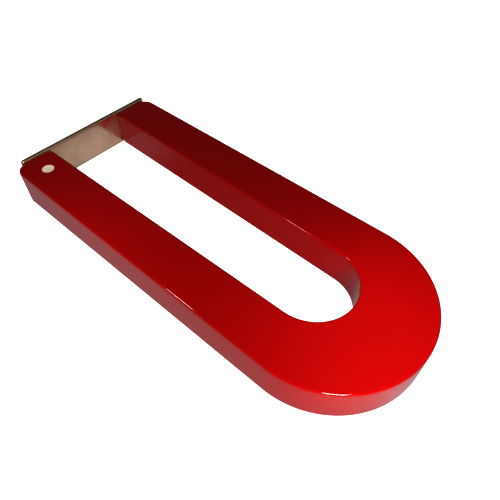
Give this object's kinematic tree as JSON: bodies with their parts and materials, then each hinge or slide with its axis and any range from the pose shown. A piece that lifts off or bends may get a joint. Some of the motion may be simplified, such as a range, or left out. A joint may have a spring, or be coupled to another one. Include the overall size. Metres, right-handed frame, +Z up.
{
  "type": "horseshoe magnet",
  "caption": "U-shaped lifting magnet in glossy red enamel, with bare ground pole faces, a white dot on the marked pole, and a flat steel keeper bar across the poles.",
  "frame": {"origin": "middle of the footprint of the magnet with its keeper on, at the level of the surface that it lies on", "axes": "+X along the limbs from the poles to the bend, +Y across the limbs away from the marked limb, +Z up from the face that the magnet lies on"},
  "size_m": [0.1512, 0.0628, 0.015],
  "materials": {
    "magnet_alloy": "cast permanent magnet alloy, ground bright on the pole faces",
    "red_enamel": "glossy red stoving enamel",
    "white_paint": "off-white paint run into a drilled dimple",
    "keeper_steel": "bright rolled mild steel strip with sheared edges"
  },
  "bodies": {
    "magnet": {"magnet_core": "magnet_alloy", "enamel_coat": "red_enamel", "north_mark": "white_paint"},
    "keeper": {"keeper": "keeper_steel"}
  },
  "joints": [
    {"name": "keeper_pull_off", "type": "slide", "parent": "magnet", "child": "keeper", "axis": [-1, 0, 0], "range_m": [0, 0.05]}
  ]
}
